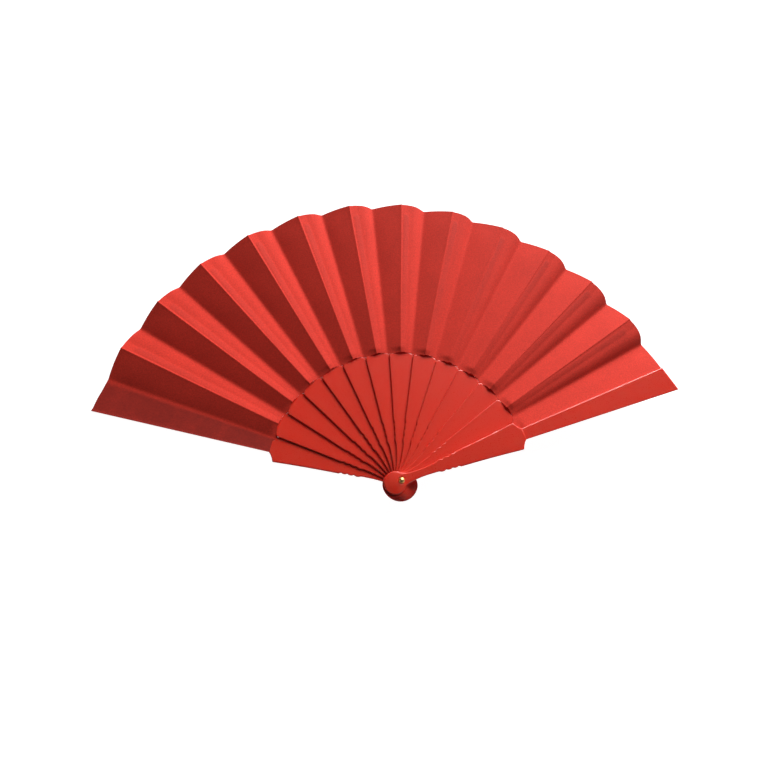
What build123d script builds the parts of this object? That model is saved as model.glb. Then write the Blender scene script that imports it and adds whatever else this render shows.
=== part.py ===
from build123d import *
import math
import os

# Folding hand fan, lying open on its back. Millimetres and degrees.
# +Z is the front of the fan, +Y points up the middle of the open fan, and the origin is on the
# rivet's axis in the plane that the fan lies on. Every stick is drawn along +X, then turned about Z.

# --- the fan as a whole
INNER_COUNT = 12
STEP = 11.0                 # open angle from one inner stick to the next
REAR_AZIMUTH = 162.3        # where the rear guard's centre line points
FRONT_STEP = 12.65          # open angle from the last inner stick to the front guard
LEAF_INNER_R = 98.7         # just past the twist of the slips
LEAF_OUTER_R = 217.0
FRONT_LEAF_OUTER_R = 214.8  # where the leaf ends on the front guard

# --- the stack of sticks on the rivet
REAR_THICKNESS = 1.5
STICK_THICKNESS = 0.9
FRONT_THICKNESS = 1.6
STACK_GAP = 0.1
STICK_PITCH = STICK_THICKNESS + STACK_GAP

# --- pleats: each stick carries a tilted panel of the leaf, between a valley and a peak
VALLEY_ANGLE = -3.88        # from the stick's centre line
PEAK_ANGLE = 1.14
PLEAT_HEIGHT = 6.9          # peak above valley at the leaf's outer edge
PLEAT_SLOPE = PLEAT_HEIGHT / (LEAF_OUTER_R * math.sin(math.radians(PEAK_ANGLE - VALLEY_ANGLE)))
CLOTH = 0.2
CLOTH_GAP_ANGLE = 0.02      # clearance between neighbouring pieces of the leaf

# --- stick outline
GUARD_HEAD = (7.7, 4.6)     # radius of the head's disc, and its centre's place behind the rivet
INNER_HEAD = (8.6, 5.2)
HEAD_CROWN = 0.6            # the front guard's head is a shallow dome
HEAD_CROWN_R = 6.9
RIVET_SEAT_R = 2.4          # flat seat in that dome
NECK_AT_ANGLE = 44.0        # where the neck leaves the head's disc, seen from the disc's centre
NECK_POINTS = [(9.0, 3.0), (15.0, 2.75), (22.0, 3.05), (27.0, 3.5)]
BEADS = [(31.9, 3.75, 0.75), (36.6, 4.15, 0.75), (41.0, 4.55, 0.7)]  # end of each bead, and its bulge
SHOULDER = (42.6, 5.6)
PALMETTE_MIDDLE = (66.0, 7.6)
PALMETTE_CORNER = (91.2, 10.0)
SCALLOPS = [(93.4, 6.6), (94.5, 2.3)]
SCALLOP_BULGE = 0.45
GUARD_CORNER = (89.2, 10.1)
GUARD_CORNER_R = 0.8
GUARD_NOTCH_U = 93.6
GUARD_NOTCH_HOLLOW = 0.5
EDGE_ROUND = 0.4

# --- slips: the narrow ends of the sticks, which carry the leaf
GUARD_SLIP_ANGLE = 2.52     # half the wedge that a guard's slip fills
GUARD_OUTER_END = 218.8     # the slip is cut off aslant, longer on the fan's outer side
GUARD_INNER_END = 215.0
REAR_SLIP_THICKNESS = 1.3
GUARD_SLIP_START = 88.0
FRONT_SLIP_THICKNESS = 1.1
FRONT_LIFT_ANGLE = 1.74     # the front guard is straight, and slopes up to lie on the folded leaf
FRONT_CLEARANCE = 0.05      # between the front guard and the cloth behind it
RIB_START = 88.0
RIB_FLAT_END = 95.2         # an inner slip lies flat up to here, then twists up to the panel plane
RIB_TILTED_FROM = 98.5      # and follows the plane from here
RIB_END = 209.0
RIB_ROOT_WIDTH = 3.5
RIB_TIP_WIDTH = 4.2
RIB_THICKNESS = 0.5
RIB_ROOT_LIFT = 0.2         # rib's underside above the palmette's underside
SLAB_MARGIN = 5.0           # how far a slip's slab runs past the outline that it is cut to

# --- rivet
RIVET_R = 1.2
RIVET_CLEARANCE = 0.05      # around the shank
RIVET_HEAD_GAP = 0.12       # under the domed head, whose seat slopes with the front guard
RIVET_DOME_R = 2.15
RIVET_DOME_HEIGHT = 1.75
RIVET_TAIL_R = 2.0
RIVET_TAIL_DEPTH = 0.7

FRONT_INDEX = INNER_COUNT + 1
FRONT_BASE = REAR_THICKNESS + STACK_GAP + INNER_COUNT * STICK_PITCH


def sine(angle):
    return math.sin(math.radians(angle))


def polar(radius, angle, z=0.0):
    return Vector(radius * math.cos(math.radians(angle)), radius * sine(angle), z)


def azimuth(index):
    """Where stick number index points; 0 is the rear guard and FRONT_INDEX the front guard."""
    turned = min(index, INNER_COUNT) * STEP
    if index == FRONT_INDEX:
        turned += FRONT_STEP
    return REAR_AZIMUTH - turned


def base(index):
    """Height of the underside of stick number index where it lies in the stack."""
    if index == 0:
        return 0.0
    return REAR_THICKNESS + STACK_GAP + (index - 1) * STICK_PITCH


def pleat_height(index, radius, angle):
    """Height of an inner stick's tilted panel plane, at an angle from the stick's centre line."""
    return base(index) + PLEAT_SLOPE * radius * sine(angle - VALLEY_ANGLE)


def front_underside(along):
    """Height of the underside of the front guard at a distance along it from the rivet."""
    return FRONT_BASE + (along + sum(GUARD_HEAD)) * math.tan(math.radians(FRONT_LIFT_ANGLE))


def cloth_height(index, radius, angle):
    """Height of the underside of the cloth that is glued to a stick."""
    if index == 0:
        return REAR_SLIP_THICKNESS
    if index == FRONT_INDEX:
        return front_underside(radius * math.cos(math.radians(angle))) - FRONT_CLEARANCE - CLOTH
    return pleat_height(index, radius, angle) + RIB_THICKNESS


# --- outlines


def mirrored(point):
    return (point[0], -point[1])


def bulged(start, end, bulge):
    """An arc from start to end whose middle stands out to the left of the chord by bulge."""
    middle = (Vector(*start) + Vector(*end)) * 0.5
    along = (Vector(*end) - Vector(*start)).normalized()
    out = Vector(-along.Y, along.X) * bulge
    return ThreePointArc(start, (middle + out), end)


def edge_to_palmette(head):
    """Upper edge of a stick, from the head's disc to the palmette's shoulder."""
    head_r, offset = head
    away = (math.cos(math.radians(NECK_AT_ANGLE)), sine(NECK_AT_ANGLE))
    neck_start = (head_r * away[0] - offset, head_r * away[1])
    edges = [ThreePointArc((-offset - head_r, 0), (-offset, head_r), neck_start)]
    edges.append(Spline([neck_start] + NECK_POINTS, tangents=[(away[1], -away[0]), (1, 0.12)]))
    last = NECK_POINTS[-1]
    for u, v, bulge in BEADS:
        edges.append(bulged(last, (u, v), bulge))
        last = (u, v)
    edges.append(Line(last, SHOULDER))
    return edges


def both_sides(edges, across):
    """A face from the edges of one side, their mirror image and the edge that crosses the axis."""
    flipped = [edge.mirror(Plane.XZ) for edge in edges]
    return make_face(Wire(edges + flipped + [across]))


def inner_outline():
    edges = edge_to_palmette(INNER_HEAD)
    edges.append(ThreePointArc(SHOULDER, PALMETTE_MIDDLE, PALMETTE_CORNER))
    last = PALMETTE_CORNER
    for point in SCALLOPS:
        edges.append(bulged(last, point, SCALLOP_BULGE))
        last = point
    return both_sides(edges, bulged(last, mirrored(last), SCALLOP_BULGE))


def guard_outline():
    edges = edge_to_palmette(GUARD_HEAD)
    edges.append(ThreePointArc(SHOULDER, PALMETTE_MIDDLE, GUARD_CORNER))
    notch = (GUARD_NOTCH_U, GUARD_NOTCH_U * math.tan(math.radians(GUARD_SLIP_ANGLE)))
    edges.append(bulged(GUARD_CORNER, notch, -GUARD_NOTCH_HOLLOW))
    outline = both_sides(edges, Line(notch, mirrored(notch)))
    corners = []
    for vertex in outline.vertices():
        if abs(vertex.X - GUARD_CORNER[0]) < 0.01 and abs(abs(vertex.Y) - GUARD_CORNER[1]) < 0.01:
            corners.append(vertex)
    return fillet(corners, GUARD_CORNER_R)


def guard_slip_outline(start, left_end, right_end):
    slope = math.tan(math.radians(GUARD_SLIP_ANGLE))
    left = [(start, start * slope), (left_end, left_end * slope)]
    right = [(right_end, -right_end * slope), (start, -start * slope)]
    return make_face(Polyline(*left, *right, close=True))


def rib_outline():
    width = RIB_ROOT_WIDTH / 2
    tip = RIB_TIP_WIDTH / 2
    arc_start = (RIB_END - tip, tip)
    edges = [
        Line((RIB_START, -width), (RIB_START, width)),
        Line((RIB_START, width), arc_start),
        ThreePointArc(arc_start, (RIB_END, 0), mirrored(arc_start)),
        Line(mirrored(arc_start), (RIB_START, -width)),
    ]
    return make_face(Wire(edges))


# --- solids


def upright(face, bottom, top):
    return extrude(Pos(0, 0, bottom) * face, top - bottom)


def section(u, half_width, low_left, low_right, thickness):
    """Upright four-sided section across a stick at distance u, leaning from one side to the other."""
    corners = [
        (u, half_width, low_left),
        (u, half_width, low_left + thickness),
        (u, -half_width, low_right + thickness),
        (u, -half_width, low_right),
    ]
    return Wire.make_polygon([Vector(*corner) for corner in corners])


def rib_slab():
    """Flat at the palmette, then twisted up to the tilted panel plane."""
    half_width = RIB_ROOT_WIDTH + SLAB_MARGIN
    sections = []
    for u in (RIB_START, RIB_FLAT_END):
        sections.append(section(u, half_width, RIB_ROOT_LIFT, RIB_ROOT_LIFT, RIB_THICKNESS))
    valley = math.radians(VALLEY_ANGLE)
    for u in (RIB_TILTED_FROM, RIB_END + SLAB_MARGIN):
        left, right = [
            PLEAT_SLOPE * (side * math.cos(valley) - u * math.sin(valley))
            for side in (half_width, -half_width)
        ]
        sections.append(section(u, half_width, left, right, RIB_THICKNESS))
    pieces = [Solid.make_loft(list(pair), ruled=True) for pair in zip(sections, sections[1:])]
    return pieces[0].fuse(*pieces[1:])


def rounded_top(solid, top):
    """Rounds the upper rim of a guard."""
    rim = solid.edges().filter_by_position(Axis.Z, top - 0.001, top + 0.001)
    return fillet(rim, EDGE_ROUND)


def place(solid, index):
    return Rot(0, 0, azimuth(index)) * (Pos(0, 0, base(index)) * solid)


def rivet_hole(index, thickness):
    radius = RIVET_R + (RIVET_CLEARANCE if index else 0.0)
    return Pos(0, 0, thickness / 2) * Cylinder(radius, thickness + 2)


def inner_stick(index):
    palmette = upright(inner_outline(), 0, STICK_THICKNESS)
    rib = rib_slab() & upright(rib_outline(), -SLAB_MARGIN, SLAB_MARGIN + PLEAT_HEIGHT)
    return place(palmette + rib - rivet_hole(index, STICK_THICKNESS), index)


def rear_guard():
    palmette = rounded_top(upright(guard_outline(), 0, REAR_THICKNESS), REAR_THICKNESS)
    outline = guard_slip_outline(GUARD_SLIP_START, GUARD_OUTER_END, GUARD_INNER_END)
    slip = upright(outline, 0, REAR_SLIP_THICKNESS)
    tail_seat = Pos(0, 0, RIVET_TAIL_DEPTH / 2) * Cylinder(RIVET_TAIL_R, RIVET_TAIL_DEPTH)
    return place(palmette + slip - rivet_hole(0, REAR_THICKNESS) - tail_seat, 0)


def head_crown():
    """The shallow dome on the front guard's head, with a flat seat for the rivet."""
    sphere_r = (HEAD_CROWN_R ** 2 + HEAD_CROWN ** 2) / (2 * HEAD_CROWN)
    ball = Pos(0, 0, HEAD_CROWN - sphere_r) * Sphere(sphere_r)
    above = Pos(0, 0, sphere_r) * Box(4 * sphere_r, 4 * sphere_r, 2 * sphere_r)
    seat = Pos(GUARD_HEAD[1], 0, HEAD_CROWN) * Cylinder(RIVET_SEAT_R, 2 * HEAD_CROWN)
    return Pos(-GUARD_HEAD[1], 0, FRONT_THICKNESS) * ((ball & above) - seat)


def front_guard():
    palmette = rounded_top(upright(guard_outline(), 0, FRONT_THICKNESS), FRONT_THICKNESS)
    outline = guard_slip_outline(GUARD_SLIP_START, GUARD_INNER_END, GUARD_OUTER_END)
    guard = palmette + upright(outline, 0, FRONT_SLIP_THICKNESS) + head_crown()
    head_end = sum(GUARD_HEAD)
    sloping = Pos(-head_end, 0, 0) * Rot(0, -FRONT_LIFT_ANGLE, 0) * Pos(head_end, 0, 0) * guard
    return place(sloping - rivet_hole(FRONT_INDEX, FRONT_THICKNESS), FRONT_INDEX)


def cloth_line(index, angle):
    """Both ends of a radial line on the underside of the cloth that is glued to a stick."""
    outer = FRONT_LEAF_OUTER_R if index == FRONT_INDEX else LEAF_OUTER_R
    ends = []
    for radius in (LEAF_INNER_R, outer):
        ends.append(polar(radius, azimuth(index) + angle, cloth_height(index, radius, angle)))
    return ends


def cloth_strip(line_a, line_b):
    """Cloth between two radial lines."""
    up = Vector(0, 0, CLOTH)
    sections = []
    for a, b in zip(line_a, line_b):
        sections.append(Wire.make_polygon([a, a + up, b + up, b]))
    return Solid.make_loft(sections, ruled=True)


def panel_angles(index):
    """The two edges of the panel of leaf that is glued to stick number index."""
    if index == 0:
        return (GUARD_SLIP_ANGLE, VALLEY_ANGLE)
    if index == FRONT_INDEX:
        return (GUARD_SLIP_ANGLE, -GUARD_SLIP_ANGLE)
    return (PEAK_ANGLE, VALLEY_ANGLE)


def leaf_panel(index):
    peak, valley = panel_angles(index)
    upper = cloth_line(index, peak - CLOTH_GAP_ANGLE)
    return cloth_strip(upper, cloth_line(index, valley + CLOTH_GAP_ANGLE))


def leaf_fold(index):
    """The free pleat between stick number index and the next."""
    valley = panel_angles(index)[1]
    peak = panel_angles(index + 1)[0]
    start = cloth_line(index, valley - CLOTH_GAP_ANGLE)
    return cloth_strip(start, cloth_line(index + 1, peak + CLOTH_GAP_ANGLE))


def rivet():
    """One brass pin: a tail set flush into the rear guard, a shank and a domed head."""
    top = front_underside(0) + FRONT_THICKNESS + RIVET_HEAD_GAP
    shank = Pos(0, 0, top / 2) * Cylinder(RIVET_R, top)
    tail = Pos(0, 0, RIVET_TAIL_DEPTH / 2) * Cylinder(RIVET_TAIL_R, RIVET_TAIL_DEPTH)
    sphere_r = (RIVET_DOME_R ** 2 + RIVET_DOME_HEIGHT ** 2) / (2 * RIVET_DOME_HEIGHT)
    ball = Pos(0, 0, top + RIVET_DOME_HEIGHT - sphere_r) * Sphere(sphere_r)
    above = Pos(0, 0, top + sphere_r) * Box(4 * sphere_r, 4 * sphere_r, 2 * sphere_r)
    return shank + tail + (ball & above)


parts = {"rivet": rivet(), "rear_guard": rear_guard(), "front_guard": front_guard()}
for number in range(1, INNER_COUNT + 1):
    parts[f"stick_{number:02d}"] = inner_stick(number)
for number in range(FRONT_INDEX + 1):
    parts[f"leaf_panel_{number:02d}"] = leaf_panel(number)
for number in range(FRONT_INDEX):
    parts[f"leaf_fold_{number:02d}"] = leaf_fold(number)

os.makedirs("parts", exist_ok=True)
for name, solid in parts.items():
    export_step(solid, f"parts/{name}.step")
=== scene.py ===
import math

import bpy
import numpy as np
from mathutils import Matrix, Vector
from mathutils.bvhtree import BVHTree


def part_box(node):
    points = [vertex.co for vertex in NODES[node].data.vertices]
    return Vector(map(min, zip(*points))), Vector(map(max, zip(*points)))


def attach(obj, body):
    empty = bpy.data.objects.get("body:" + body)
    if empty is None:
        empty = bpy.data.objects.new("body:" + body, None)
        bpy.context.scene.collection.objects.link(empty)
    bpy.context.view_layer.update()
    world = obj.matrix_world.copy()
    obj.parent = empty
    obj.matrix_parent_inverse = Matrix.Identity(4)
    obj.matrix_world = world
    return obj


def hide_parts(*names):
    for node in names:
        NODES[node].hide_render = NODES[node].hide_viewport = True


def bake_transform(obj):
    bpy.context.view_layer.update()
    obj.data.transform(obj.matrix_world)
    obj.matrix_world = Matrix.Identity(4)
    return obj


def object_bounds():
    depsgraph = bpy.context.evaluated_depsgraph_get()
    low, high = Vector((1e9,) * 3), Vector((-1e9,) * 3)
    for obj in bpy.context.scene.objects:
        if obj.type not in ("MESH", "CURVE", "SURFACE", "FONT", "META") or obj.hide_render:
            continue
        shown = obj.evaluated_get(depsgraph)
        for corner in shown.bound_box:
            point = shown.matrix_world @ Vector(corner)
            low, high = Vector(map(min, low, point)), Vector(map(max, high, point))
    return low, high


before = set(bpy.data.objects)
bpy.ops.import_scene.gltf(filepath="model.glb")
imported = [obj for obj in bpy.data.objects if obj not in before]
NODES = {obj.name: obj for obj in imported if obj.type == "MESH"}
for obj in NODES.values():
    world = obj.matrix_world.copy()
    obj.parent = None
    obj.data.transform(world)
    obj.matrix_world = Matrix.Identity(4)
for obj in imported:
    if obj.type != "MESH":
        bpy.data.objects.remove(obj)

# A folding hand fan, lying open on its back. Metres and degrees, in the CAD frame: +Z is the front
# of the fan and the origin is on the rivet's axis. Azimuths are measured about it, from +X to +Y.
# Stick 0 is the rear guard and the last stick is the front guard. Each stick carries a panel of
# the leaf, from a peak down to a valley, and a free fold goes from the valley to the next peak.

CAD_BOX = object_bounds()

MM = 0.001
STICKS = ["rear_guard"] + sorted(name for name in NODES if name.startswith("stick_")) + ["front_guard"]
LAST = len(STICKS) - 1

# --- the leaf
CLOTH = 0.2 * MM
GRID_INNER = 94.0 * MM          # nominal inner radius of the leaf
PALMETTE_GAP = 0.02 * MM        # between the palmettes' scalloped tops and the leaf's inner edge
PALMETTE_LEAN = (0.19, 0.39, 0.49)  # on the first, middle and last piece the inner edge leans over
                                # the palmettes by this share of its height above them
PALMETTE_TOP = 0.3 * MM         # height of an inner palmette's face above the pleat's plane
CROWN_FROM = 98.5 * MM          # the cloth bulges from here outwards
CROWN_GROWTH = 0.7              # power by which a glued panel's bulge grows outwards
EDGE_DROP = 0.35                # the inner edge sinks by this share of its height above the palmettes,
EDGE_DROP_FROM = 98.5 * MM      # from here
EDGE_DROP_OVER = 5.0 * MM       # over this width
RIB_AXIS = 3.88                 # a stick's centre line is this far above its valley
RIB_TIP = 209.0 * MM
RAY_START = 95.1 * MM           # just outside every palmette, where the slips still lie flat
RAY_REACH = 15.0 * MM
RAY_ABOVE_BASE = 0.8 * MM       # between an inner slip's face and its palmette's
RAY_ABOVE_CLOTH = 1.5 * MM      # the same on the front guard, from the middle of its cloth
RIB_ROOT_HALF = 1.75 * MM       # half the slip's width at the leaf's inner edge
RIB_TIP_HALF = 2.1 * MM
IMPRINT_EDGE = 0.8 * MM         # width over which the cloth steps down beside the slip
IMPRINT_DEPTH = 0.16 * MM
IMPRINT_GONE = 0.5              # share of the loose part between slip and valley where it has faded
IMPRINT_GLUE_AND_SHADE = (0.06, 0.24)     # how much glue and painted shade darken the cloth over an inner slip, at its root and at its tip; it is 1 on the guards, where it paints the shade of their panels
                                # it is 1 on the guards
GUARD_GLUE_AND_SHADE_EDGE = 1.2           # degrees over which the glue and painted shade fade towards a guard panel's valley
PEAK_PINCH = 0.2 * MM           # the pressed fold line stands up by this much at the outer edge
PINCH_WIDTH = 0.5 * MM
PEAK_SOFTNESS = 0.35 * MM       # half the width over which a fold line is rounded
VALLEY_SOFTNESS = 1.2 * MM
SOFTNESS_CHANGE = (1.5, 0.25)   # slope and offset of the change from one to the other along a facet
PANEL_CROWN = (0.0, 1.8 * MM)   # bulge of the first and the last glued panel
LOOSE_CROWN = (0.6 * MM, 0.8 * MM)  # and of their loose parts, between the slip and the valley
FOLD_CROWN = 0.4 * MM           # bulge of a free fold
PANEL_EDGE_CROWN = (0.5 * MM, 1.0 * MM)     # outward curve of their outer edges
FOLD_EDGE_CROWN = 0.3 * MM      # and of a free fold's
FRONT_END = 215.0 * MM          # the leaf's outer radius at the front guard's inner side
GUARD_END = 218.4 * MM          # and at both guards' outer side
EDGE_BAND = 16.0 * MM           # near the outer edge the free folds flatten out
RIPPLE = 0.14 * MM
RIPPLE_SWING = 0.6              # share of it that varies
RIPPLE_LONG = (61.0, 23.0)      # one wave's radians for each metre outwards and each radian round,
RIPPLE_ROUND = (17.0, 1.3)      # times one that only goes round, with its start
RIPPLE_SHORT = (118.0, -41.0, 0.8)  # a third wave, outwards and round, with its start
RIPPLE_SHORT_SHARE = 0.6

# how far a peak or valley strays from its regular place at the outer edge, in degrees
PEAK_STRAY = {6: 0.1, 9: -0.12, 11: 0.12, 12: 0.35}
VALLEY_STRAY = {3: -0.1, 6: 0.15, 8: 0.2, 10: -0.25, 11: -0.45, 12: -0.2}

# --- edges
STICK_ROUNDING = 0.1 * MM       # a wider bevel cuts through itself at the palmettes' outer ends
BEVEL_SEGMENTS = 3
BEVEL_FROM = 35.0               # degrees between two faces
SHADED_ROUNDING = 1.1 * MM      # the shading alone is softened over this width
WELD_DISTANCE = 0.001 * MM
WHOLE_FACE_ANGLE = 0.3          # degrees between facets of one flat face
SHEET_SHARP_FROM = 50.0         # degrees between two faces of the cloth for a hard edge in its shading

# --- mesh of the leaf
INNER_ROWS = 9
MIDDLE_ROWS = 40
OUTER_ROWS = 16
MIDDLE_FROM = 0.06              # share of the way outwards
OUTER_FROM = 0.88
PANEL_COLUMNS = (7, 3, 3, 3, 12)    # peak, slip's near edge, slip, its far edge, up to the valley
FIRST_COLUMN = 0.15 * MM        # at least this wide
FOLD_COLUMNS = 18
SMOOTHING_STEPS = 9

# --- colours, linear, and materials
FABRIC_RED = (0.50, 0.025, 0.013)
PLASTIC_RED = (0.58, 0.034, 0.017)
BRASS = (0.80, 0.56, 0.20)
THREAD_PITCH = 0.42 * MM
FLOOR_GREY = 0.35
FLOOR_GLOW = 0.98

# --- camera and light
CAMERA_AT = (-50.4 * MM, -24.3 * MM, 355.0 * MM)
CAMERA_AZIMUTH = 22.34          # of the view direction, from +Y towards +X
CAMERA_BELOW_HORIZON = 73.11
CAMERA_ROLL = 20.25
CAMERA_LENS = 23.51
CAMERA_CLIP = 0.01
KEY_AZIMUTH = 62.0
KEY_ELEVATION = 27.0
KEY_DISTANCE = 1.5
KEY_SIZE = 1.2
KEY_POWER = 54.0
WORLD_STRENGTH = 0.05
FLOOR_HALF = 4.0
FLOOR_GAP = 0.05 * MM


def sine(angle):
    return np.sin(np.radians(angle))


def smoothstep(x):
    x = np.clip(x, 0.0, 1.0)
    return x * x * (3.0 - 2.0 * x)


def unit(azimuth, elevation=0.0):
    level = math.cos(math.radians(elevation))
    return Vector((
        level * math.cos(math.radians(azimuth)),
        level * math.sin(math.radians(azimuth)),
        math.sin(math.radians(elevation)),
    ))


# --- what the frame says about the pleats


def node_points(name):
    return np.array([tuple(vertex.co) for vertex in NODES[name].data.vertices])


def panel_facts(number):
    """A CAD panel's peak and valley, and the plane through the middle of its cloth."""
    points = node_points(f"leaf_panel_{number:02d}")
    azimuths = np.degrees(np.arctan2(points[:, 1], points[:, 0]))
    flat = np.column_stack([np.ones(len(points)), points[:, :2]])
    plane = np.linalg.lstsq(flat, points[:, 2], rcond=None)[0]
    return {"peak": azimuths.max(), "valley": azimuths.min(), "plane": plane}


PANELS = [panel_facts(number) for number in range(LAST + 1)]
LEAF_INNER = float(np.hypot(*node_points("leaf_panel_01")[:, :2].T).min())
LEAF_OUTER = float(np.hypot(*node_points("leaf_panel_01")[:, :2].T).max())


def crease_lines(radius):
    """Azimuths of peak 0, valley 0, peak 1 and so on, at one radius or at each of several."""
    grown = (radius - LEAF_INNER) / (LEAF_OUTER - LEAF_INNER)
    lines = []
    for number, panel in enumerate(PANELS):
        lines.append(panel["peak"] + grown * PEAK_STRAY.get(number, 0.0))
        lines.append(panel["valley"] + grown * VALLEY_STRAY.get(number, 0.0))
    return np.array(lines)


# --- the leaf's surface


def on_plane(number, radius, azimuths):
    """Height of the middle of the cloth on a stick's tilted plane."""
    start, tilt_x, tilt_y = PANELS[number]["plane"]
    return start + radius * (tilt_x * np.cos(np.radians(azimuths)) + tilt_y * sine(azimuths))


def skewed(x):
    """A bulge of height 1 from 0 to 1, steeper at 1."""
    highest = 0.385             # of x - x cubed
    return x * (1.0 - x ** 2) / highest


def bulge_share(radius):
    return np.clip((radius - CROWN_FROM) / (LEAF_OUTER - CROWN_FROM), 0.0, 1.0)


def rib_half_width(radius):
    return np.interp(radius, (LEAF_INNER, RIB_TIP), (RIB_ROOT_HALF, RIB_TIP_HALF))


def rib_share(number, radius, azimuths):
    """1 where the cloth is glued to an inner stick's slip, 0 beside it and past its round tip."""
    from_axis = np.radians(azimuths - PANELS[number]["valley"] - RIB_AXIS)
    along = radius * np.cos(from_axis)
    across = np.abs(radius * np.sin(from_axis))
    past = np.maximum(along - (RIB_TIP - RIB_TIP_HALF), 0.0)
    outside = np.hypot(past, across) - rib_half_width(radius)
    return smoothstep(0.5 - outside / IMPRINT_EDGE)


def panel_height(number, radius, azimuths, across):
    heights = on_plane(number, radius, azimuths)
    if number in (0, LAST):
        return heights
    width = radius * sine(PANELS[number]["peak"] - PANELS[number]["valley"])
    rib_far_side = 1.0 - (radius * sine(RIB_AXIS) - rib_half_width(radius)) / width
    free = np.clip((across - rib_far_side) / (1.0 - rib_far_side), 0.0, 1.0)
    grown = bulge_share(radius) ** CROWN_GROWTH
    crown = np.interp(number, (1, LAST - 1), PANEL_CROWN) * skewed(np.clip(across, 0.0, 1.0))
    crown = (crown + np.interp(number, (1, LAST - 1), LOOSE_CROWN) * skewed(free)) * grown
    beside_rib = 1.0 - rib_share(number, radius, azimuths)
    return heights + crown - IMPRINT_DEPTH * beside_rib * (1.0 - smoothstep(free / IMPRINT_GONE))


def fold_height(number, radius, ends, across):
    valley = on_plane(number, radius, ends[0])
    peak = on_plane(number + 1, radius, ends[1])
    grown = bulge_share(radius)
    flattening = 1.0 - smoothstep((radius - LEAF_OUTER + EDGE_BAND) / EDGE_BAND)
    crown = FOLD_CROWN * grown * flattening * skewed(1.0 - across)
    return valley + (peak - valley) * across + crown


def edge_drop(radius, above):
    """How far the cloth's inner edge sinks towards the palmettes' faces, by its height above them."""
    inwards = smoothstep((EDGE_DROP_FROM - radius) / EDGE_DROP_OVER)
    return EDGE_DROP * inwards * np.maximum(above, 0.0)


def ripple(radius, azimuths):
    """Slight unevenness of the cloth, none at its inner edge and always upwards."""
    angle = np.radians(azimuths)
    waves = np.sin(RIPPLE_LONG[0] * radius + RIPPLE_LONG[1] * angle)
    waves = waves * np.sin(RIPPLE_ROUND[0] * angle + RIPPLE_ROUND[1])
    outwards, around, start = RIPPLE_SHORT
    waves = waves + RIPPLE_SHORT_SHARE * np.sin(outwards * radius + around * angle + start)
    grown = bulge_share(radius)
    return RIPPLE * grown * (1.0 + RIPPLE_SWING * waves)


def sharp_height(radius, azimuths):
    """Height of the middle of the cloth at each point, with sharp fold lines."""
    lines = crease_lines(radius)
    facets = np.clip((lines >= azimuths).sum(axis=0) - 1, 0, len(lines) - 2)
    heights = np.empty(len(azimuths))
    for facet in np.unique(facets):
        here = facets == facet
        face = PANELS[facet // 2]["plane"][0] + PALMETTE_TOP
        ends = lines[facet:facet + 2, here]
        across = (ends[0] - azimuths[here]) / (ends[0] - ends[1])
        number, is_fold = divmod(int(facet), 2)
        if is_fold:
            heights[here] = fold_height(number, radius[here], ends, across)
        else:
            heights[here] = panel_height(number, radius[here], azimuths[here], across)
        heights[here] -= edge_drop(radius[here], heights[here] - face)
    return heights


def leaf_height(radius, azimuths):
    """The same with the fold lines rounded, by averaging across them."""
    lines = crease_lines(radius)
    to_peak = np.abs(azimuths - lines[0::2]).min(axis=0)
    to_valley = np.abs(azimuths - lines[1::2]).min(axis=0)
    slope, offset = SOFTNESS_CHANGE
    valley_share = smoothstep(slope * to_peak / (to_peak + to_valley) - offset)
    reach = PEAK_SOFTNESS + (VALLEY_SOFTNESS - PEAK_SOFTNESS) * valley_share
    total = np.zeros(len(azimuths))
    for step in np.linspace(-1.0, 1.0, SMOOTHING_STEPS):
        total += sharp_height(radius, azimuths + np.degrees(reach * step / radius))
    pinch = PEAK_PINCH * radius / LEAF_OUTER * np.exp(-(np.radians(to_peak) * radius / PINCH_WIDTH) ** 2)
    return total / SMOOTHING_STEPS + pinch + ripple(radius, azimuths)


def palmette_outline(trees, number, azimuth):
    """Radius at which a stick's palmette ends, found by a ray that comes in from the leaf."""
    cloth = on_plane(number, RAY_START, azimuth)
    inner_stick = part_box(STICKS[number])[0][2] + RAY_ABOVE_BASE
    height = {0: cloth, LAST: cloth + RAY_ABOVE_CLOTH}.get(number, inner_stick)
    away = unit(azimuth)
    start = away * RAY_START + Vector((0.0, 0.0, float(height)))
    hit = trees[number].ray_cast(start, -away, RAY_REACH)[0]
    return math.hypot(hit.x, hit.y) if hit else 0.0


def inner_radius(trees, number, azimuths):
    """The leaf's inner edge follows the palmettes, and leans over them where it stands high."""
    neighbours = (number, min(number + 1, LAST))
    outline = []
    for azimuth in azimuths:
        outline.append(max(palmette_outline(trees, each, azimuth) for each in neighbours))
    outline = np.array(outline)
    face = PANELS[number]["plane"][0] + PALMETTE_TOP
    above = np.maximum(leaf_height(outline, azimuths) - face, 0.0)
    return outline + PALMETTE_GAP - np.interp(number, (0, LAST / 2, LAST), PALMETTE_LEAN) * above


def outer_radius(number, panel_places, fold_places):
    """The leaf's outer edge, curved on each facet and cut aslant with the guards' slips."""
    ends = {0: (GUARD_END, LEAF_OUTER), LAST: (FRONT_END, GUARD_END)}.get(number, (LEAF_OUTER, LEAF_OUTER))
    crown = 0.0 if number in (0, LAST) else np.interp(number, (1, LAST - 1), PANEL_EDGE_CROWN)
    panel = np.interp(panel_places, (0.0, 1.0), ends) + crown * 4.0 * panel_places * (1.0 - panel_places)
    fold_end = FRONT_END if number + 1 == LAST else LEAF_OUTER
    fold = np.interp(fold_places, (0.0, 1.0), (LEAF_OUTER, fold_end))
    return np.concatenate([panel, fold + FOLD_EDGE_CROWN * 4.0 * fold_places * (1.0 - fold_places)])


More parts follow.
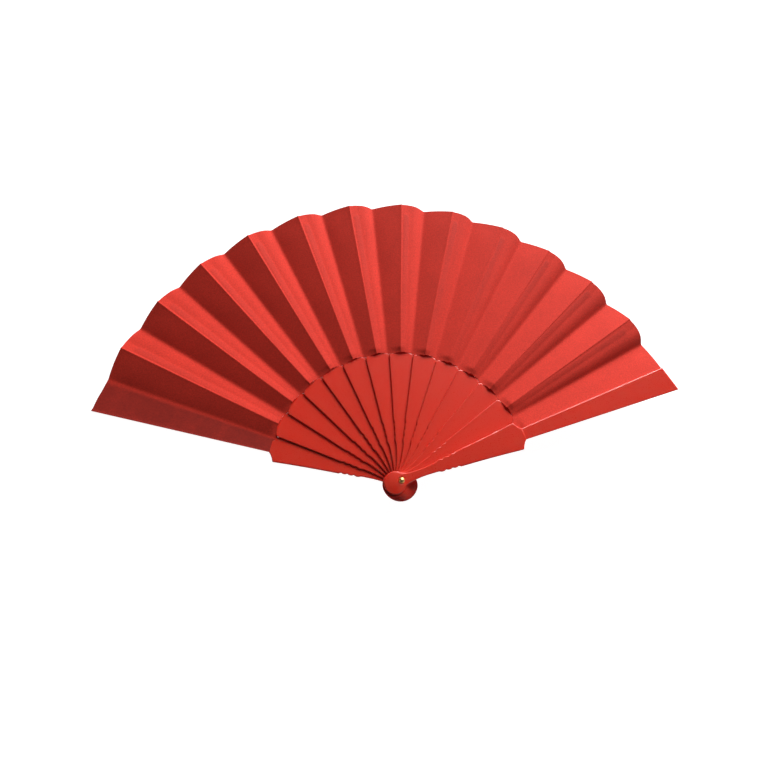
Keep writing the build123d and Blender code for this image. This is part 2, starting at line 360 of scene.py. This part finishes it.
def panel_columns(number, radius):
    """Places across a panel, from 0 at the peak to 1 at the valley, close together at the slip."""
    width = radius * sine(PANELS[number]["peak"] - PANELS[number]["valley"])
    half, edge = rib_half_width(radius), IMPRINT_EDGE / 2
    axis = width - radius * sine(RIB_AXIS) if number not in (0, LAST) else width / 2
    stops = [0.0, axis - half - edge, axis - half + edge, axis + half - edge, axis + half + edge, width]
    stops[1] = max(stops[1], FIRST_COLUMN)
    places = [0.0]
    for start, end, count in zip(stops, stops[1:], PANEL_COLUMNS):
        places.extend(np.linspace(start, end, count + 1)[1:] / width)
    return np.array(places)


def fold_columns():
    return 0.5 - 0.5 * np.cos(np.linspace(0.0, np.pi, FOLD_COLUMNS + 1))


def row_places():
    inner = np.linspace(0.0, MIDDLE_FROM, INNER_ROWS, endpoint=False)
    middle = np.linspace(MIDDLE_FROM, OUTER_FROM, MIDDLE_ROWS, endpoint=False)
    return np.concatenate([inner, middle, np.linspace(OUTER_FROM, 1.0, OUTER_ROWS)])


def leaf_grid(trees, number):
    """Radius, azimuth, height and share of glue and painted shade by row and column, and the panel's
    column count.
    """
    with_fold = number < LAST
    fold = fold_columns()[1:] if with_fold else np.array([])
    grid = []
    for row in row_places():
        nominal = GRID_INNER + row * (LEAF_OUTER - GRID_INNER)
        lines = crease_lines(nominal)
        across = panel_columns(number, nominal)
        peak, valley = lines[2 * number], lines[2 * number + 1]
        azimuths = peak + (valley - peak) * across
        if with_fold:
            azimuths = np.concatenate([azimuths, valley + (lines[2 * number + 2] - valley) * fold])
        if not grid:
            inner = inner_radius(trees, number, azimuths)
            outer = outer_radius(number, across, fold)
        radii = inner + row * (outer - inner)
        heights = leaf_height(radii, azimuths)
        # glue and painted shade: the cloth over an inner slip darkens a little, and a guard's panel all
        # over
        glue_and_shade = np.interp(radii, (LEAF_INNER, RIB_TIP), IMPRINT_GLUE_AND_SHADE) * rib_share(number, radii, azimuths)
        if number in (0, LAST):
            glue_and_shade = smoothstep((azimuths - valley) / GUARD_GLUE_AND_SHADE_EDGE)
        grid.append(np.column_stack([radii, azimuths, heights, glue_and_shade]))
    return np.array(grid), len(across)


def closed_sheet(name, grid):
    """A thin closed mesh with the grid as its middle layer."""
    rows, columns = grid.shape[:2]
    radius, azimuth, height, glue_and_shade = grid.reshape(-1, 4).T
    x, y = radius * np.cos(np.radians(azimuth)), radius * sine(azimuth)
    top = np.column_stack([x, y, height + CLOTH / 2])
    bottom = np.column_stack([x, y, height - CLOTH / 2])
    count = rows * columns

    def at(row, column, layer=0):
        return layer * count + row * columns + column

    faces = []
    for row in range(rows - 1):
        for column in range(columns - 1):
            corners = [(row, column), (row, column + 1), (row + 1, column + 1), (row + 1, column)]
            faces.append([at(r, c) for r, c in reversed(corners)])
            faces.append([at(r, c, 1) for r, c in corners])
    rim = [(0, c) for c in range(columns - 1)]
    rim += [(r, columns - 1) for r in range(rows - 1)]
    rim += [(rows - 1, c) for c in range(columns - 1, 0, -1)]
    rim += [(r, 0) for r in range(rows - 1, 0, -1)]
    for here, following in zip(rim, rim[1:] + rim[:1]):
        faces.append([at(*here), at(*following), at(*following, 1), at(*here, 1)])

    mesh = bpy.data.meshes.new(name)
    mesh.from_pydata(np.vstack([top, bottom]).tolist(), [], faces)
    mesh.update()
    across = radius * np.radians(azimuth.max() - azimuth)
    flat = np.tile(np.column_stack([across, radius]), (2, 1))
    layer = mesh.uv_layers.new(name="cut")
    loops = np.array([loop.vertex_index for loop in mesh.loops])
    layer.data.foreach_set("uv", flat[loops].ravel())
    # the share of glue and painted shade, which darkens the fabric's colour
    glue_and_shade_layer = mesh.attributes.new("glue_and_shade", "FLOAT", "POINT")
    glue_and_shade_layer.data.foreach_set("value", np.tile(glue_and_shade, 2).astype(np.float32))
    mesh.shade_smooth()
    mesh.set_sharp_from_angle(angle=math.radians(SHEET_SHARP_FROM))
    obj = bpy.data.objects.new(name, mesh)
    bpy.context.scene.collection.objects.link(obj)
    return obj


def bend_with_fold(obj):
    """Bakes the object's transform into its mesh."""
    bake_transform(obj)


def leaf_piece(trees, number, material):
    grid, panel_width = leaf_grid(trees, number)
    obj = closed_sheet(f"leaf_{number:02d}", grid)
    obj.data.materials.append(material)
    if number < LAST:
        bend_with_fold(obj)
        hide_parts(f"leaf_panel_{number:02d}", f"leaf_fold_{number:02d}")
    else:
        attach(obj, STICKS[number])
        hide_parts(f"leaf_panel_{number:02d}")


# --- materials


class Nodes:
    """Short calls for building one material's node tree."""

    def __init__(self, name):
        self.material = bpy.data.materials.new(name)
        self.material.use_nodes = True
        self.tree = self.material.node_tree
        self.shader = self.tree.nodes["Principled BSDF"]

    def add(self, kind, **settings):
        node = self.tree.nodes.new(kind)
        for key, value in settings.items():
            if hasattr(node, key):
                setattr(node, key, value)
            else:
                node.inputs[key.replace("_", " ")].default_value = value
        return node

    def link(self, source, target):
        self.tree.links.new(source, target)

    def math(self, operation, first, second=None):
        node = self.add("ShaderNodeMath", operation=operation)
        for socket, value in zip(node.inputs, (first, second)):
            if isinstance(value, (int, float)):
                socket.default_value = value
            elif value is not None:
                self.link(value, socket)
        return node.outputs[0]

    def noise(self, coordinates, scale, detail=3.0):
        node = self.add("ShaderNodeTexNoise", Scale=scale, Detail=detail)
        self.link(coordinates, node.inputs["Vector"])
        return node.outputs["Fac"]

    def ramp(self, factor, low, high):
        """Maps 0..1 to low..high."""
        node = self.add("ShaderNodeMapRange", To_Min=low, To_Max=high)
        self.link(factor, node.inputs["Value"])
        return node.outputs["Result"]

    def tinted(self, colour, brightness):
        """colour times a brightness socket."""
        node = self.add("ShaderNodeVectorMath", operation="SCALE")
        node.inputs[0].default_value = colour
        self.link(brightness, node.inputs["Scale"])
        return node.outputs["Vector"]

    def bump(self, height, strength, distance, under=None):
        node = self.add("ShaderNodeBump", Strength=strength, Distance=distance)
        self.link(height, node.inputs["Height"])
        if under is not None:
            self.link(under, node.inputs["Normal"])
        return node.outputs["Normal"]

    def set(self, name, value):
        socket = self.shader.inputs[name]
        if isinstance(value, bpy.types.NodeSocket):
            self.link(value, socket)
        else:
            socket.default_value = value


def fabric_material():
    """Red plain-woven polyester, darker and flatter where glue has soaked in; the same darkening paints
    shade over the slips and on the guards' panels.
    """
    m = Nodes("leaf_fabric_woven")
    cut = m.add("ShaderNodeUVMap", uv_map="cut").outputs["UV"]
    place = m.add("ShaderNodeTexCoord").outputs["Object"]
    split = m.add("ShaderNodeSeparateXYZ")
    m.link(cut, split.inputs[0])
    threads = 2 * math.pi / THREAD_PITCH
    warp = m.math("SINE", m.math("MULTIPLY", split.outputs["X"], threads))
    weft = m.math("SINE", m.math("MULTIPLY", split.outputs["Y"], threads))
    weave = m.math("MULTIPLY_ADD", m.math("MULTIPLY", warp, weft), 0.5)
    grain = m.noise(place, scale=1100.0, detail=2.0)
    cloudy = m.noise(place, scale=42.0)
    glue_and_shade = m.add("ShaderNodeAttribute", attribute_name="glue_and_shade").outputs["Fac"]
    blotches = m.noise(place, scale=95.0, detail=4.0)
    glue_and_shade = m.math("MULTIPLY", glue_and_shade, m.ramp(blotches, low=0.55, high=1.45))
    shade = m.math("MULTIPLY", m.ramp(grain, low=0.6, high=1.4), m.ramp(cloudy, low=0.88, high=1.12))
    # painted shade with glue: the base colour darkens down to half where the share is 1
    shade = m.math("MULTIPLY", shade, m.ramp(glue_and_shade, low=1.0, high=0.5))
    m.set("Base Color", m.tinted(FABRIC_RED, shade))
    m.set("Roughness", m.ramp(glue_and_shade, low=0.85, high=0.7))
    m.set("Specular IOR Level", 0.25)
    m.set("Sheen Weight", 0.06)
    m.set("Sheen Roughness", 0.45)
    m.set("Sheen Tint", (1.0, 0.45, 0.4, 1.0))
    threads_bump = m.bump(weave, strength=0.35, distance=0.05 * MM)
    m.set("Normal", m.bump(grain, strength=0.3, distance=0.12 * MM, under=threads_bump))
    return m.material


def plastic_material():
    """Red moulded plastic with a satin gloss and the faint unevenness of a cheap mould."""
    m = Nodes("stick_plastic_moulded")
    place = m.add("ShaderNodeTexCoord").outputs["Object"]
    cloudy = m.noise(place, scale=25.0, detail=0.0)
    fine = m.noise(place, scale=1500.0, detail=2.0)
    m.set("Base Color", m.tinted(PLASTIC_RED, m.ramp(cloudy, low=0.97, high=1.03)))
    m.set("Roughness", m.ramp(fine, low=0.24, high=0.34))
    m.set("Specular IOR Level", 0.5)
    m.set("Subsurface Weight", 0.8)
    m.set("Subsurface Radius", (1.0, 0.15, 0.08))
    m.set("Subsurface Scale", 1.5 * MM)
    edges = m.add("ShaderNodeBevel", samples=8, Radius=SHADED_ROUNDING).outputs["Normal"]
    m.set("Normal", m.bump(fine, strength=0.06, distance=0.05 * MM, under=edges))
    return m.material


def brass_material():
    """Brass plating with a slightly uneven colour and gloss."""
    m = Nodes("rivet_brass_polished")
    place = m.add("ShaderNodeTexCoord").outputs["Object"]
    cloudy = m.noise(place, scale=700.0)
    m.set("Base Color", m.tinted(BRASS, m.ramp(cloudy, low=0.88, high=1.08)))
    m.set("Metallic", 1.0)
    m.set("Roughness", m.ramp(cloudy, low=0.34, high=0.46))
    m.set("Normal", m.bump(cloudy, strength=0.08, distance=0.1 * MM))
    return m.material


def floor_material():
    """White paper, which glows a little so that it stays white to its edges."""
    m = Nodes("paper_floor")
    m.set("Base Color", (FLOOR_GREY, FLOOR_GREY, FLOOR_GREY, 1.0))
    m.set("Roughness", 0.9)
    m.set("Specular IOR Level", 0.1)
    m.set("Emission Color", (1.0, 1.0, 1.0, 1.0))
    m.set("Emission Strength", FLOOR_GLOW)
    return m.material


# --- sticks and rivet


def soften(obj, width):
    """Joins the CAD mesh's facets into whole faces, and rounds the edges if a width is given."""
    obj.modifiers.new("join", "WELD").merge_threshold = WELD_DISTANCE
    planar = obj.modifiers.new("whole faces", "DECIMATE")
    planar.decimate_type = "DISSOLVE"
    planar.angle_limit = math.radians(WHOLE_FACE_ANGLE)
    if width:
        bevel = obj.modifiers.new("moulded edge", "BEVEL")
        bevel.width = width
        bevel.segments = BEVEL_SEGMENTS
        bevel.limit_method = "ANGLE"
        bevel.angle_limit = math.radians(BEVEL_FROM)
        bevel.use_clamp_overlap = False
    smooth = obj.modifiers.new("shading", "WEIGHTED_NORMAL")
    smooth.keep_sharp = True


def finish_node(name, material, width):
    obj = NODES[name]
    obj.data.materials.clear()
    obj.data.materials.append(material)
    soften(obj, width)


def make_object():
    fabric, plastic = fabric_material(), plastic_material()
    graph = bpy.context.evaluated_depsgraph_get()
    trees = [BVHTree.FromObject(NODES[name], graph) for name in STICKS]
    for number in range(LAST + 1):
        leaf_piece(trees, number, fabric)
    for name in STICKS:
        finish_node(name, plastic, STICK_ROUNDING if name.startswith("stick_") else None)
    finish_node("rivet", brass_material(), None)


# --- studio


def make_floor():
    mesh = bpy.data.meshes.new("floor")
    low = CAD_BOX[0][2] - FLOOR_GAP
    signs = [(-1, -1), (1, -1), (1, 1), (-1, 1)]
    corners = [(x * FLOOR_HALF, y * FLOOR_HALF, low) for x, y in signs]
    mesh.from_pydata(corners, [], [(0, 1, 2, 3)])
    mesh.materials.append(floor_material())
    floor = bpy.data.objects.new("floor", mesh)
    bpy.context.scene.collection.objects.link(floor)


def soft_light(name, azimuth, elevation, distance, size, power):
    light = bpy.data.lights.new(name, "AREA")
    light.shape = "DISK"
    light.size = size
    light.energy = power
    lamp = bpy.data.objects.new(name, light)
    towards = unit(azimuth, elevation)
    lamp.location = towards * distance
    lamp.rotation_euler = towards.to_track_quat("Z", "Y").to_euler()
    bpy.context.scene.collection.objects.link(lamp)


def make_world():
    world = bpy.data.worlds.new("studio")
    world.use_nodes = True
    background = world.node_tree.nodes["Background"]
    background.inputs["Color"].default_value = (1.0, 1.0, 1.0, 1.0)
    background.inputs["Strength"].default_value = WORLD_STRENGTH
    bpy.context.scene.world = world


def make_camera():
    look = unit(90.0 - CAMERA_AZIMUTH, -CAMERA_BELOW_HORIZON)
    turn = look.to_track_quat("-Z", "Y").to_matrix().to_4x4()
    camera = bpy.data.objects.new("camera", bpy.data.cameras.new("camera"))
    camera.data.lens = CAMERA_LENS
    camera.data.clip_start = CAMERA_CLIP
    roll = Matrix.Rotation(math.radians(CAMERA_ROLL), 4, "Z")
    camera.matrix_world = Matrix.Translation(CAMERA_AT) @ turn @ roll
    bpy.context.scene.collection.objects.link(camera)
    bpy.context.scene.camera = camera


make_object()
make_floor()
make_world()
make_camera()
soft_light("key", KEY_AZIMUTH, KEY_ELEVATION, KEY_DISTANCE, KEY_SIZE, KEY_POWER)
bpy.context.scene.view_settings.view_transform = "Standard"
